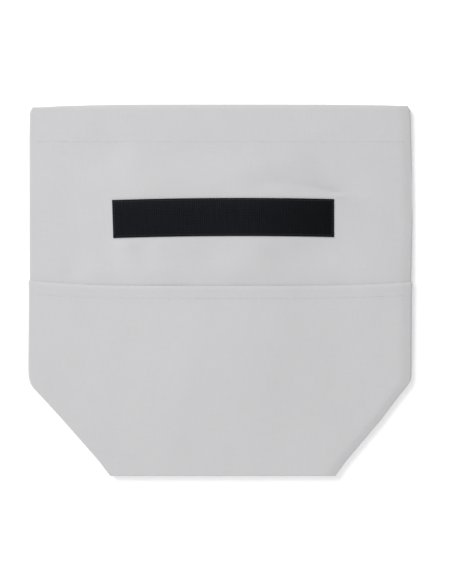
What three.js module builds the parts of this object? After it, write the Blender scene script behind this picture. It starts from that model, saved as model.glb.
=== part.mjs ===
// A soft insulated cooler bag, empty and lying flat on its back with its mouth towards +Y.
// The base is folded in half and tucked up between the two padded walls, which is what slants
// the two lower corners. The lower half of the front carries a cloth pocket, and the upper half a
// strip of hook tape. The loop tape that it closes on, once the mouth is rolled down twice, is on the back.
// Millimetres, +Z up. The origin is under the middle of the flat outline, on the surface it lies on.
import * as THREE from 'three';

// Thickness of each material, and the clearance between pieces that are sewn together.
const WALL = 2.5;
const POCKET_CLOTH = 1.0;
const TAPE_THICKNESS = 1.6;
const GAP = 0.4;

// Outline of the two walls: where the left and right edges run at each height.
const OUTLINE = [
  { y: -184.2, left: -109.5, right: 113.0 },
  { y: -175.0, left: -117.0, right: 119.5 },
  { y: -103.0, left: -180.5, right: 179.0 },
  { y: -96.0, left: -186.0, right: 184.4 },
  { y: -89.0, left: -189.5, right: 188.8 },
  { y: -78.0, left: -190.6, right: 190.4 },
  { y: 140.0, left: -190.9, right: 191.2 },
  { y: 178.0, left: -190.6, right: 190.8 },
  { y: 185.6, left: -188.8, right: 187.4 },
];
const FOOT_Y = OUTLINE[0].y;
const MOUTH_Y = OUTLINE[OUTLINE.length - 1].y;
const HALF_WIDTH = 191;

// The mouth's edge drops a little at its two ends.
const MOUTH_DROOP = { left: 3.3, right: 1.5, sharpness: 3, starts: 140 };

// The edge where the two walls are sewn: each wall rolls over it and curls in to the seam.
const ROLL = 10;
const CURL = THREE.MathUtils.degToRad(40);
const BELLY = 1.8;

// The two walls meet along the seam of each side, and stand apart below it at the mouth of the tuck.
const SEAM_GAP = 0.4;
const SLIT = 0.8;
const SLIT_ENDS = { from: -85, to: -60 };

// Heights through the stack of four walls, from the surface up.
const SEAM_Z = 2 * WALL + GAP + SLIT / 2;
const FRONT_Z = 2 * SEAM_Z + 0.4;
const CROWN = 3.0;

// Shallow bulges and dents of the front wall: centre, reach to each side, and rise.
const FRONT_FOLDS = [
  { where: 'bulge above the tape', x: -45, y: 128, reachX: 80, reachY: 34, rise: 0.9 },
  { where: 'dent above the tape, right', x: 92, y: 114, reachX: 70, reachY: 26, rise: -1.4 },
  { where: 'pucker at the tape, lower left', x: -116, y: 40, reachX: 40, reachY: 26, rise: 0.8 },
  { where: 'bulge by the right edge', x: 150, y: 34, reachX: 44, reachY: 40, rise: 0.7 },
  { where: 'hollow behind the pocket rim', x: 0, y: 4, reachX: 190, reachY: 34, rise: -1.6 },
];

// Tapes, how far around each one the wall is held flat, and over what distance it lets go.
const HOOK_STRIP = { x: 2.5, y: 73.25, width: 221, height: 38, bow: 1.5 };
const LOOP_STRIP = { x: 2.5, y: 156, width: 221, height: 38, bow: 0 };
const HELD_FLAT = 4;
const TAPE_RAMP = 12;

// The pocket's rim hangs lower in the middle, where the pocket also stands open.
const POCKET_RIM = { y: 4.5, lift: 5, liftDepth: 55, open: 5.6, openDepth: 120 };

// The tuck of the base: its crease, and how far its edges stay inside the walls' outline.
const CREASE_Y = -89;
const GUSSET_INSET = 9;

// Largest step of each faceted grid, and the turns of the rolled edges and of the crease.
const STEP = { front: 20, back: 36, pocket: 20, gusset: 36, tape: 20 };
const FLAT_TURN = Math.PI / 2;
const ROLL_TURNS = [Math.PI / 3, Math.PI / 6, 0, -CURL];
const BEND_STEPS = 4;

const { clamp, lerp, smoothstep } = THREE.MathUtils;

// Left and right edge of the walls at a height, straight between the rows of the outline.
function outlineAt(y) {
  const above = OUTLINE.findIndex((row) => row.y >= y);
  const index = clamp(above, 1, OUTLINE.length - 1);
  const [lower, upper] = [OUTLINE[index - 1], OUTLINE[index]];
  const share = clamp((y - lower.y) / (upper.y - lower.y), 0, 1);
  return { left: lerp(lower.left, upper.left, share), right: lerp(lower.right, upper.right, share) };
}

// Even steps through the given stops, none longer than the one asked for.
function stepsThrough(stops, step) {
  const sorted = stops.toSorted((a, b) => a - b);
  const made = [sorted[0]];
  sorted.slice(1).forEach((end, i) => {
    const count = Math.ceil((end - sorted[i]) / step);
    for (let k = 1; k <= count; k += 1) made.push(lerp(sorted[i], end, k / count));
  });
  return made;
}

// The stops that a tape puts into the grid under it: where the patch that it holds flat ends, and where it
// lets go.
function tapeStops(tape) {
  const around = (middle, half) =>
    [HELD_FLAT, HELD_FLAT + TAPE_RAMP].flatMap((by) => [middle - half - by, middle + half + by]);
  return { x: around(tape.x, tape.width / 2), y: around(tape.y, tape.height / 2) };
}

function mouthDroop(x, y) {
  const end = x < 0 ? MOUTH_DROOP.left : MOUTH_DROOP.right;
  const share = Math.min(1, Math.abs(x) / HALF_WIDTH);
  return end * share ** MOUTH_DROOP.sharpness * smoothstep(y, MOUTH_DROOP.starts, MOUTH_Y);
}

// 1 over a tape and just around it, falling to 0 outside.
function nearTape(tape, x, y) {
  const beyondX = Math.abs(x - tape.x) - tape.width / 2;
  const beyondY = Math.abs(y - tape.y) - tape.height / 2;
  return 1 - smoothstep(Math.max(beyondX, beyondY), HELD_FLAT + 0.01, HELD_FLAT + TAPE_RAMP);
}

function foldRise(fold, x, y) {
  const reach = Math.hypot((x - fold.x) / fold.reachX, (y - fold.y) / fold.reachY);
  return fold.rise * (1 - smoothstep(reach, 0, 1));
}

// Height of the front wall's outer face, before its edges roll down.
function frontLevel(x, y) {
  const crown = CROWN * (1 - (x / HALF_WIDTH) ** 2);
  const folds = FRONT_FOLDS.reduce((sum, fold) => sum + foldRise(fold, x, y), 0);
  const onTape = CROWN * (1 - (HOOK_STRIP.width / 2 / HALF_WIDTH) ** 2);
  return FRONT_Z + lerp(crown + folds, onTape, nearTape(HOOK_STRIP, x, y));
}

// Height of the back wall's outer face: on the surface, but lifted over the loop tape.
function backLevel(x, y) {
  return (TAPE_THICKNESS + GAP) * nearTape(LOOP_STRIP, x, y);
}

// A panel's flat middle as a grid of stations, with rings of stations that roll over its side and bottom
// edges. Each station has its place on the flat, the way its edge faces, and how far the edge has turned.
function panelSurface(step, topY, stops = { x: [], y: [] }) {
  const bends = OUTLINE.map((row) => row.y);
  const inner = [...bends, POCKET_RIM.y, ...stops.y].filter((y) => y > FOOT_Y + ROLL && y < topY);
  const heights = stepsThrough([FOOT_Y + ROLL, ...inner, topY], step);
  const reach = HALF_WIDTH - ROLL;
  const shares = stepsThrough([-reach, ...stops.x, reach], step).map((x) => (x + reach) / (2 * reach));
  const wide = shares.length;
  const high = heights.length;
  const stations = heights.flatMap((y) => {
    const { left, right } = outlineAt(y);
    return shares.map((share) => ({
      x: lerp(left + ROLL, right - ROLL, share), y, outX: 0, outY: 0, turn: FLAT_TURN,
    }));
  });
  const triangles = [];
  const quad = (a, b, c, d) => triangles.push([a, b, c], [a, c, d]);
  const at = (i, j) => j * wide + i;
  for (let j = 0; j < high - 1; j += 1) {
    for (let i = 0; i < wide - 1; i += 1) quad(at(i, j), at(i + 1, j), at(i + 1, j + 1), at(i, j + 1));
  }

  // Down the left edge, along the bottom and up the right edge. The two corners face where the outline's do.
  const border = [];
  for (let j = high - 1; j > 0; j -= 1) border.push({ index: at(0, j), outX: -1, outY: 0 });
  for (let i = 0; i < wide; i += 1) border.push({ index: at(i, 0), outX: 0, outY: -1 });
  for (let j = 1; j < high; j += 1) border.push({ index: at(wide - 1, j), outX: 1, outY: 0 });
  const foot = outlineAt(FOOT_Y);
  border[high - 1].outX = (foot.left - stations[at(0, 0)].x) / ROLL;
  border[high + wide - 2].outX = (foot.right - stations[at(wide - 1, 0)].x) / ROLL;

  let ring = border.map(({ index }) => index);
  ROLL_TURNS.forEach((turn) => {
    const first = stations.length;
    border.forEach(({ index, outX, outY }) => {
      stations.push({ x: stations[index].x, y: stations[index].y, outX, outY, turn });
    });
    for (let k = 0; k < border.length - 1; k += 1) quad(ring[k], first + k, first + k + 1, ring[k + 1]);
    ring = border.map((_, k) => first + k);
  });
  return { stations, triangles };
}

// Half the distance between the two walls' rims.
function halfSlit(y) {
  return lerp(SLIT, SEAM_GAP, smoothstep(y, SLIT_ENDS.from, SLIT_ENDS.to)) / 2;
}

// Where a station stands, at an offset outwards from the wall's outer face.
function placeOf(station, offset) {
  const reach = (ROLL + offset) * Math.cos(station.turn);
  const x = station.x + station.outX * reach;
  const y = station.y + station.outY * reach;
  return { x, y: y - mouthDroop(x, y) };
}

// A point of the front half of the bag, lifted off the wall where a loose layer stands away from it.
function frontPoint(station, offset, lift = () => 0) {
  const { x, y } = placeOf(station, offset);
  const rim = SEAM_Z + halfSlit(y);
  const top = frontLevel(x, y) + offset + lift(x, y);
  const z = station.turn < 0 ? rim : lerp(rim + BELLY, top, Math.sin(station.turn));
  return new THREE.Vector3(x, y, z);
}

// The same for the back half, which rolls up to the seam.
function backPoint(station, offset) {
  const { x, y } = placeOf(station, offset);
  const rim = SEAM_Z - halfSlit(y);
  const bottom = backLevel(x, y) - offset;
  const z = station.turn < 0 ? rim : lerp(rim - BELLY, bottom, Math.sin(station.turn));
  return new THREE.Vector3(x, y, z);
}

// A closed sheet: the surface at its outer points, again at its inner ones, and walls along its open edges.
function thickened({ stations, triangles }, outerPoint, innerPoint, flipped = false) {
  const count = stations.length;
  const points = [...stations.map(outerPoint), ...stations.map(innerPoint)];
  const edges = new Set(triangles.flatMap(([a, b, c]) => [`${a},${b}`, `${b},${c}`, `${c},${a}`]));
  const walls = [...edges]
    .map((edge) => edge.split(',').map(Number))
    .filter(([a, b]) => !edges.has(`${b},${a}`))
    .flatMap(([a, b]) => [[b, a, a + count], [b, a + count, b + count]]);
  const inside = triangles.map(([a, b, c]) => [c + count, b + count, a + count]);
  const all = [...triangles, ...inside, ...walls].map(([a, b, c]) => (flipped ? [a, c, b] : [a, b, c]));
  const geometry = new THREE.BufferGeometry().setFromPoints(points).setIndex(all.flat());
  geometry.computeVertexNormals();
  return geometry;
}

// A plain grid over columns and rows, for pieces whose edges don't roll.
function gridSurface(columns, rows) {
  const wide = columns.length;
  const stations = rows.flatMap((row) => columns.map((column) => ({ column, row })));
  const triangles = [];
  for (let j = 0; j < rows.length - 1; j += 1) {
    for (let i = 0; i < wide - 1; i += 1) {
      const [a, b, c, d] = [j * wide + i, j * wide + i + 1, (j + 1) * wide + i + 1, (j + 1) * wide + i];
      triangles.push([a, b, c], [a, c, d]);
    }
  }
  return { stations, triangles };
}

function frontPanel() {
  const surface = panelSurface(STEP.front, MOUTH_Y, tapeStops(HOOK_STRIP));
  return thickened(surface, (at) => frontPoint(at, 0), (at) => frontPoint(at, -WALL));
}

function backPanel() {
  const surface = panelSurface(STEP.back, MOUTH_Y, tapeStops(LOOP_STRIP));
  return thickened(surface, (at) => backPoint(at, 0), (at) => backPoint(at, -WALL), true);
}

// The base, folded along its crease: an upper layer, the bend at the crease and a lower layer.
function baseGusset() {
  const radius = (SLIT + WALL) / 2;
  const bends = OUTLINE.map((row) => row.y).filter((y) => y > FOOT_Y + GUSSET_INSET && y < CREASE_Y);
  const heights = stepsThrough([FOOT_Y + GUSSET_INSET, ...bends, CREASE_Y], STEP.gusset);
  const bend = Array.from({ length: BEND_STEPS - 1 }, (_, k) => (Math.PI * (k + 1)) / BEND_STEPS);
  const rows = [
    ...heights.map((y) => ({ y, turn: 0 })),
    ...bend.map((turn) => ({ y: CREASE_Y, turn })),
    ...heights.toReversed().map((y) => ({ y, turn: Math.PI })),
  ];
  const columns = stepsThrough([0, 1], STEP.gusset / (2 * HALF_WIDTH));
  const pointAt = (offset) => ({ column, row }) => {
    const { left, right } = outlineAt(row.y);
    return new THREE.Vector3(
      lerp(left + GUSSET_INSET, right - GUSSET_INSET, column),
      row.y + (radius + offset) * Math.sin(row.turn),
      SEAM_Z + (radius + offset) * Math.cos(row.turn),
    );
  };
  return thickened(gridSurface(columns, rows), pointAt(WALL / 2), pointAt(-WALL / 2));
}

// The pocket lies on the front wall all round, and stands open towards the middle of its rim.
function frontPocket() {
  const nearRim = (y, depth) => smoothstep(y, POCKET_RIM.y - depth, POCKET_RIM.y);
  const open = (x, y) => {
    const sideways = Math.max(0, 1 - (x / (HALF_WIDTH - ROLL)) ** 2);
    return POCKET_RIM.open * sideways * nearRim(y, POCKET_RIM.openDepth);
  };
  const pointAt = (offset) => (station) => {
    const point = frontPoint(station, offset, open);
    point.y += POCKET_RIM.lift * (point.x / HALF_WIDTH) ** 2 * nearRim(point.y, POCKET_RIM.liftDepth);
    return point;
  };
  const surface = panelSurface(STEP.pocket, POCKET_RIM.y, { x: tapeStops(HOOK_STRIP).x, y: [] });
  return thickened(surface, pointAt(GAP + POCKET_CLOTH), pointAt(GAP));
}

// A tape with a level face, bowed a little in its own plane.
function tape(strip, bottomZ) {
  const columns = stepsThrough([-strip.width / 2, strip.width / 2], STEP.tape);
  const rows = [-strip.height / 2, strip.height / 2];
  const pointAt = (z) => ({ column, row }) =>
    new THREE.Vector3(strip.x + column, strip.y + row - strip.bow * ((2 * column) / strip.width) ** 2, z);
  return thickened(gridSurface(columns, rows), pointAt(bottomZ + TAPE_THICKNESS), pointAt(bottomZ));
}

function piece(name, geometry, material) {
  const mesh = new THREE.Mesh(geometry, material);
  mesh.name = name;
  return mesh;
}

const clothGrey = new THREE.MeshStandardMaterial({ color: 0xc1c1c2, roughness: 0.85, metalness: 0 });
const tapeBlack = new THREE.MeshStandardMaterial({ color: 0x1c1d21, roughness: 0.9, metalness: 0 });
const hookFoot = frontLevel(HOOK_STRIP.x, HOOK_STRIP.y) + GAP;

const bag = new THREE.Group();
bag.name = 'cooler_bag';
bag.add(
  piece('front_panel', frontPanel(), clothGrey),
  piece('back_panel', backPanel(), clothGrey),
  piece('base_gusset', baseGusset(), clothGrey),
  piece('front_pocket', frontPocket(), clothGrey),
  piece('hook_strip', tape(HOOK_STRIP, hookFoot), tapeBlack),
  piece('loop_strip', tape(LOOP_STRIP, 0), tapeBlack),
);

export default bag;
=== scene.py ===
import math

import bpy
import numpy as np
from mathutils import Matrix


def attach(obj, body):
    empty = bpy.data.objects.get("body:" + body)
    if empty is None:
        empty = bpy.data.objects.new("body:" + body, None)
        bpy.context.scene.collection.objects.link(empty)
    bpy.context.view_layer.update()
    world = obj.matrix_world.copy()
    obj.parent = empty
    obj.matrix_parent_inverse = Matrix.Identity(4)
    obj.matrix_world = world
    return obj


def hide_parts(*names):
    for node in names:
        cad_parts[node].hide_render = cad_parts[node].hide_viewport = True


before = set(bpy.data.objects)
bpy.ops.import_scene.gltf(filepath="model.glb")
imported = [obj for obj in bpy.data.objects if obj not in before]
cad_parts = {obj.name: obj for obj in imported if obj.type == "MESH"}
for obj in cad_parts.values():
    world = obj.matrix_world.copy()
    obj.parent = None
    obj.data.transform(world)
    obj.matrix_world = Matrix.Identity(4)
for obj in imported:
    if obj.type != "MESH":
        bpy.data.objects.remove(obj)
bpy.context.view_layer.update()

# A soft insulated bag, empty and lying flat on its back. Shapes are worked out in millimetres, in the
# frame's axes, and turned into metres as each mesh is made.
MM = 0.001

# Thickness of each material, and the clearance between pieces that are sewn together
WALL = 2.5
POCKET_CLOTH = 1.0
TAPE_THICKNESS = 1.6
TAPE_BASE = 0.5
TAPE_GAP = 0.15
GAP = 0.4

# Outline of the two walls: height, left edge, right edge. A soft average along it rounds its corners.
OUTLINE = (
    (-184.2, -110.2, 114.0),
    (-175.0, -116.8, 120.2),
    (-130.0, -156.3, 158.4),
    (-103.0, -181.0, 178.8),
    (-96.0, -188.0, 184.9),
    (-89.0, -190.8, 189.2),
    (-78.0, -191.4, 189.3),
    (-10.0, -190.9, 189.6),
    (20.0, -191.5, 190.6),
    (70.0, -191.6, 191.7),
    (110.0, -191.6, 191.3),
    (150.0, -191.7, 190.4),
    (180.0, -191.4, 189.7),
    (184.0, -190.6, 188.6),
    (185.9, -188.4, 186.4),
)
FOOT_Y = OUTLINE[0][0]
MOUTH_Y = OUTLINE[-1][0]
HALF_WIDTH = 191.0
OUTLINE_STEP = 0.5
OUTLINE_SOFTENING = 2.0
OUTLINE_REACH = 10.0

# The mouth's edge drops a little at its two ends.
MOUTH_DROOP = {"left": 3.4, "right": 1.6, "sharpness": 4, "starts": 140.0}

# The edge where the two walls are sewn: each wall rolls over it and curls in to the seam. The seam stands
# open by SLIT beside the tucked base and by SEAM_GAP above it.
ROLL = 10.0
REACH = HALF_WIDTH - ROLL
CURL = math.radians(40)
SQUARENESS = {"left": 0.06, "bottom": 0.05, "right": 0.08}
BELLY = 1.2
SEAM_GAP = 0.4
SLIT = 0.8
SLIT_ENDS = (-85.0, -60.0)

# Rings of points round the roll, by their share of its reach, and then round the curl, by their turn
ROLL_SHARES = (0.15, 0.3, 0.45, 0.6, 0.72, 0.82, 0.89, 0.94, 0.97, 0.99, 1.0)
CURL_TURNS = (-CURL / 3, -2 * CURL / 3, -CURL)

# Steps that round out the open edge of a sheet, and the share of a tube's heading that counts as along x
RIM_STEPS = 6
NEARLY_ALONG = 0.9

# Heights through the stack of four layers, from the surface up
SEAM_Z = 2 * WALL + GAP + SLIT / 2
FRONT_Z = 2 * SEAM_Z + GAP
CROWN = 0.6
EDGE_DROP = FRONT_Z - SEAM_Z - BELLY

# The swell of the front: its rise, and the stretch over which each side of it climbs. The left side has
# another stretch below the pocket's rim and the right side another above the tape, each with its blend.
SWELL = {
    "rise": 3.8, "left": (-160.0, -55.0), "left_below": (-140.0, 0.0), "right": (20.0, 130.0),
    "right_above": (65.0, 150.0), "mouth": (103.0, 141.0), "foot": (-178.0, -75.0),
    "over_tape": (70.0, 115.0), "over_rim": (-20.0, 20.0),
}

# The right edge rounds down between two distances inside the outline, and each hem below its own edge.
RIGHT_SHOULDER = {"drop": 2.1, "starts": 11.5, "ends": -5.5}
HEM_SHOULDER = {"drop": 1.8, "reach": 6.0}
RIM_SHOULDER = {"drop": 1.8, "reach": 4.2}

# Tapes: middle, width, height, how far the middle bows up and the left end tilts down, and how far the top
# leans out at the left end. The loop tape is cut to the same size and lies straight.
HOOK_STRIP = {"x": 2.5, "y": 73.25, "width": 221.0, "height": 38.0, "bow": 1.5, "tilt": 0.5, "lean": 1.2}
LOOP_STRIP = {**HOOK_STRIP, "y": 156.0, "bow": 0.0, "tilt": 0.0, "lean": 0.0}
TAPE_LEFT = HOOK_STRIP["x"] - HOOK_STRIP["width"] / 2
TAPE_RIGHT = HOOK_STRIP["x"] + HOOK_STRIP["width"] / 2
TAPE_FOOT = HOOK_STRIP["y"] - HOOK_STRIP["height"] / 2
TAPE_TOP = HOOK_STRIP["y"] + HOOK_STRIP["height"] / 2
TAPE_STEP = 2.0

# A wall is held flat under a tape and just around it. Past that it comes free over a ramp, which is longer
# at the tape's ends.
HELD_FLAT = 0.5
TAPE_RAMP = 6.0
TAPE_END_RAMP = 10.0

# The pocket: its rim is lifted at its two ends, and it stands open a little in the middle. The hem is
# stitched below the rim, and it tilts out and is thicker by its fold as far down as its band.
POCKET_RIM = {"y": 4.5, "left": 5.6, "right": 4.2, "sharpness": 4, "lift_depth": 55.0}
POCKET_OPEN = {"gap": 0.5, "depth": 120.0}
POCKET_HEM = {"stitch": 12.5, "band": 18.0, "tilt": 0.1, "tilt_curve": 1.5, "fold": 0.5}

# The base, folded along a line and tucked up between the walls
TUCK_Y = -89.0
TUCK_INSET = 6.0
TUCK_STEP = 4.0
TUCK_COLUMNS = 61
TUCK_BENDS = 11

# The mouth's turned hem is sewn down this far below the edge. The wall steps up a little on to it.
MOUTH_HEM = 37.5
HEM_Y = MOUTH_Y - MOUTH_HEM
HEM_STEP = {"rise": 0.2, "from": -6.0, "to": 10.0}

# Soft bulges and dents of the front wall: what each is, its middle, its reach along and across, its turn
# in degrees and its rise. The first goes on under the tape. The others stop where the tape holds the wall.
RIGHT_HOLLOW = ("hollow beside the tape's right end", 195, 95, 75, 60, 0, -3.1)
FRONT_FOLDS = (
    ("shallow dip by the hem, left", -140, 132, 50, 24, 0, -0.4),
    ("pucker under the tape, left", -95, 45, 15, 6, -16, 1.2),
    ("hollow beside that pucker", -76, 49, 16, 6, 0, -0.5),
    ("bulge below the tape", -20, 17, 115, 15, 0, 0.9),
    ("dip under the tape, right", 84, 36, 44, 16, 0, -1.2),
    ("bulge by the right edge", 156, 30, 30, 44, 0, 0.9),
    ("small dent over the rim, left", -149, 15, 14, 12, 0, -0.6),
    ("hollow behind the pocket rim", 0, 0, 190, 22, 0, -0.5),
)
FOLD_STEEPNESS = 1.6
FOLD_ROUNDNESS = 1.15

# The crease over the tape runs level, then bends down to the tape's right corner, where its lower side is
# pinched. Past the corner it opens out and fades. The last row is in shares of its length.
CREASE = {
    "from": 5.0, "to": 113.0, "y": 108.5, "bend": 56.0, "curve": 0.003, "depth": 4.6, "roundness": 1.7,
    "above": 8.0, "above_growth": 24.0, "below": 7.0, "pinch": 2.5, "below_growth": 12.0, "fade": 0.9,
    "ends": 2, "deepens": (0.0, 0.9), "pinches": (0.6, 0.95), "opens": (1.05, 1.4), "fades": (0.85, 1.45),
}

# Unevenness of the cloth, as waves in random directions. The pocket's dies out near its sides.
FRONT_RIPPLES = {"seed": 11, "shortest": 26, "longest": 70, "height": 0.09}
POCKET_RIPPLES = {"seed": 23, "shortest": 40, "longest": 110, "height": 0.12}
POCKET_RIPPLE_MARGIN = 30

# A row of stitches pulls a groove into padded cloth, with puckers beside it whose spacing wanders: the
# reach of each, and the puckers' share of the groove's depth
SEWN_LINE = {"groove": 1.5, "puckers": 6.0, "pucker_share": 0.28, "wander": 2.5}
PUCKER_WAVES = {"shortest": 30, "longest": 90, "height": 1.0, "waves": 5}
MOUTH_SEAM = {"seed": 3, "depth": 0.03, "pitch": 11.0}
POCKET_SEAM = {"seed": 5, "depth": 0.03, "pitch": 13.0}

# Stitches: length, spacing, thread radius, how far they stand out and how unevenly
HEM_STITCH = {"length": 2.6, "pitch": 3.4, "radius": 0.22, "lift": 0.03, "uneven": 0.07}
TAPE_STITCH = {"length": 2.3, "pitch": 3.0, "radius": 0.24, "lift": 0.12, "uneven": 0.05}
STITCH_TAPER = (0.55, 0.9, 1, 1, 1, 0.9, 0.55)
STITCH_DIP = 1.6
STITCH_SIDES = 6

# Lines that stitches follow: how far they run past a hem's flat part or inside a tape's edge, and how many
# points they have along a hem, and along a tape and up its ends
HEM_OVERRUN = 4
HEM_POINTS = 400
TAPE_STITCH_INSET = 1.8
BORDER_POINTS = (60, 20)

# Hooks: plain margin of the tape, spacing, sideways lean, sizes, radius, and the bent shape, as distance
# along and height. The middle of that distance stands on the grid.
HOOK = {"margin": 3.4, "pitch": (1.9, 1.5), "lean": 0.06, "sizes": (0.92, 1.04), "radius": 0.14}
HOOK_SHAPE = ((0, -0.1), (0.02, 0.4), (0.12, 0.72), (0.36, 0.84), (0.56, 0.66))
HOOK_MIDDLE = 0.25

# Loops: plain margin of the tape, spacing, scatter, half-widths, shares of the height, radius, how deep
# they are rooted in the tape and how far they stay off the surface
LOOP = {
    "margin": 3.0, "pitch": (2.0, 1.8), "scatter": 0.3, "spans": (0.45, 0.7), "heights": (0.8, 1.0),
    "radius": 0.09, "root": 0.1, "clearance": 0.02, "steps": 7,
}

# The simulation that settles the front wall's cloth: its grid, its frames, how much the cloth grows, where
# it gets too taut to grow, what counts as held by the tape and the pocket, how firmly the hem and the
# cloth beside the tape are held, and the most that a point may move
SETTLE = {
    "grid": 6.0, "frames": 24, "growth": 0.0012, "taut_from": 25.0, "held_over": 0.6,
    "held_above_rim": 12, "half_hold": 0.4, "cap": 2.5,
}
SETTLE_CLOTH = {
    "quality": 8, "mass": 0.3, "tension_stiffness": 15, "compression_stiffness": 15,
    "shear_stiffness": 5, "bending_stiffness": 20,
}

# Colours
CLOTH_COLOUR = (0.525, 0.523, 0.533)
THREAD_COLOUR = (0.532, 0.53, 0.54)
TAPE_COLOUR = (0.0055, 0.0063, 0.0085)
FILAMENT_COLOUR = (0.025, 0.0283, 0.0365)
FLOOR_COLOUR = (0.95, 0.95, 0.95)

# Looks of the materials: thread spacing and bump depth in millimetres, scales of noise for a metre, and
# pairs of values that a noise or the weave runs between. The weave's pair of tones is painted shade where
# the threads dip and a painted highlight on their crowns.
WEAVE_ARCH = {"low": 0.6, "rise": 0.4}
CLOTH_LOOK = {
    "thread": 0.6, "slub": 0.035, "slub_scale": (60, 1400), "mottle": (0.985, 1.015), "mottle_scale": 14.0,
    "nub_scale": (150, 700, 1), "nub_from": (0.7, 0.9), "weave_painted_light": (0.93, 1.03),
    "roughness": (0.9, 0.78), "slub_height": 4.0, "nub_height": 2.5, "bump": 0.35, "bump_depth": 0.12,
    "specular": 0.25, "sheen": 0.08, "sheen_roughness": 0.6,
}
THREAD_LOOK = {
    "fibre_scale": (2600, 5200, 2600), "tone": (0.86, 1.12), "roughness": (0.75, 0.55), "bump": 0.5,
    "bump_depth": 0.1, "specular": 0.3,
}
TAPE_LOOK = {
    "thread": 0.5, "speck_scale": 700.0, "weave_painted_light": (0.7, 1.2), "speck_tone": (0.7, 1.3),
    "roughness": (0.55, 0.8), "rib_height": 1.5, "bump": 0.5, "bump_depth": 0.15, "specular": 0.08,
}
FILAMENT_LOOK = {
    "speck_scale": 300.0, "speck_tone": (0.7, 1.3), "roughness": (0.35, 0.6), "specular": 0.12,
}

# Painted light along and up the hook tape: painted shade darkens its right end and a painted highlight
# lightens its upper edge. Each row is axis, from, to, and the tone at each. Streaks run up it.
TAPE_PAINTED_LIGHT = (
    ("X", 20, 108, 1.0, 0.42),
    ("Y", 78, 92, 1.0, 1.35),
)
STREAK_SCALE = (420, 45, 1)
STREAK_TONE = (0.6, 1.4)

# Blender's wave texture at scale 1 repeats over this length.
WAVE_LENGTH = math.pi / 10

# Floor, with its half-width in metres, and the sky's strength
FLOOR = {
    "half": 3.0, "drop": 0.2, "glow": 0.22, "speck": (0.99, 1.0), "speck_scale": 30.0, "roughness": 0.9,
}
SKY = 0.5

# Soft lights: name, place in metres, width in metres, power in watts
LIGHTS = (
    ("key", (-3.3, 3.41, 2.23), 1.86, 140.0),
    ("top", (-1.4, 1.46, 3.5), 1.85, 65.5),
    ("fill", (0.0, -5.6, 1.92), 3.2, 128.0),
)

# Camera: the photograph's height in pixels, the size of a pixel at the bag's edge, the picture's middle
PHOTO_HEIGHT = 584
PIXEL = 1.0
PHOTO_MIDDLE = (5.1, -1.55)
CAMERA_HEIGHT = 3000.0
EDGE_HEIGHT = 8.0
SENSOR = 36.0
FAR_CLIP = 100

rng = np.random.default_rng(7)


# Helpers
def smoothstep(value, start, end):
    share = np.clip((value - start) / (end - start), 0, 1)
    return share * share * (3 - 2 * share)


def between(first, second, share):
    """Each number of one row, moved a share of the way to the same number of another."""
    return [low + (high - low) * share for low, high in zip(first, second)]


def graded(*runs):
    """Positions along a line. Each run but the last is (start, step), and the last is the end."""
    *stretches, end = runs
    stops = [start for start, _ in stretches[1:]] + [end]
    made = []
    for (start, step), stop in zip(stretches, stops):
        count = max(1, round((stop - start) / step))
        made.append(np.linspace(start, stop, count, endpoint=False))
    return np.concatenate(made + [np.array([end], float)])


def grid_numbers(values):
    """The numbers of a grid's points, in the grid's shape."""
    return np.arange(values.size).reshape(values.shape)


def grid_quads(index):
    """Quads between the neighbours in a grid of point numbers."""
    corners = (index[:-1, :-1], index[:-1, 1:], index[1:, 1:], index[1:, :-1])
    return np.stack(corners, 2).reshape(-1, 4)


def ripples(x, y, seed, shortest, longest, height, waves=16):
    """Gentle unevenness: a sum of plane waves in fixed random directions."""
    draw = np.random.default_rng(seed)
    total = np.zeros_like(x)
    for _ in range(waves):
        heading = draw.uniform(0, math.pi)
        length = draw.uniform(shortest, longest)
        along = (x * math.cos(heading) + y * math.sin(heading)) * (2 * math.pi / length)
        total += np.sin(along + draw.uniform(0, 2 * math.pi))
    return total * height / math.sqrt(waves / 2)


# The outline
def outline_tables():
    """The outline sampled finely, with its corners rounded."""
    rows = np.array(OUTLINE)
    heights = np.arange(FOOT_Y, MOUTH_Y + OUTLINE_STEP / 2, OUTLINE_STEP)
    reach = np.arange(-OUTLINE_REACH, OUTLINE_REACH + OUTLINE_STEP, OUTLINE_STEP)
    weights = np.exp(-0.5 * (reach / OUTLINE_SOFTENING) ** 2)
    weights /= weights.sum()
    half = len(reach) // 2
    softened = []
    for column in (1, 2):
        edge = np.interp(heights, rows[:, 0], rows[:, column])
        before = 2 * edge[0] - edge[half:0:-1]
        after = 2 * edge[-1] - edge[-2 : -half - 2 : -1]
        softened.append(np.convolve(np.concatenate((before, edge, after)), weights, "valid"))
    return heights, *softened


OUTLINE_Y, OUTLINE_LEFT, OUTLINE_RIGHT = outline_tables()


def outline_at(y):
    return np.interp(y, OUTLINE_Y, OUTLINE_LEFT), np.interp(y, OUTLINE_Y, OUTLINE_RIGHT)


def mouth_droop(x, y):
    end = np.where(x < 0, MOUTH_DROOP["left"], MOUTH_DROOP["right"])
    share = np.minimum(1, np.abs(x) / HALF_WIDTH)
    return end * share ** MOUTH_DROOP["sharpness"] * smoothstep(y, MOUTH_DROOP["starts"], MOUTH_Y)


# Where the tapes lie
def tape_place(tape, across, up):
    """Where a point of a tape lies, from its distance across and up from the tape's middle."""
    share = 2 * across / tape["width"]
    x = tape["x"] + across - tape["lean"] * (up / tape["height"]) * (1 - share) / 2
    return x, tape["y"] + up - tape["bow"] * share ** 2 + tape["tilt"] * share


def near_tape(tape, x, y):
    """1 over a tape and just around it, falling to 0 outside."""
    _, middle = tape_place(tape, x - tape["x"], 0)
    beyond_x = np.abs(x - tape["x"]) - tape["width"] / 2
    beyond_y = np.abs(y - middle) - tape["height"] / 2
    outside = np.hypot(np.maximum(beyond_x, 0) * TAPE_RAMP / TAPE_END_RAMP, np.maximum(beyond_y, 0))
    return 1 - smoothstep(outside, HELD_FLAT, HELD_FLAT + TAPE_RAMP)


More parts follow.
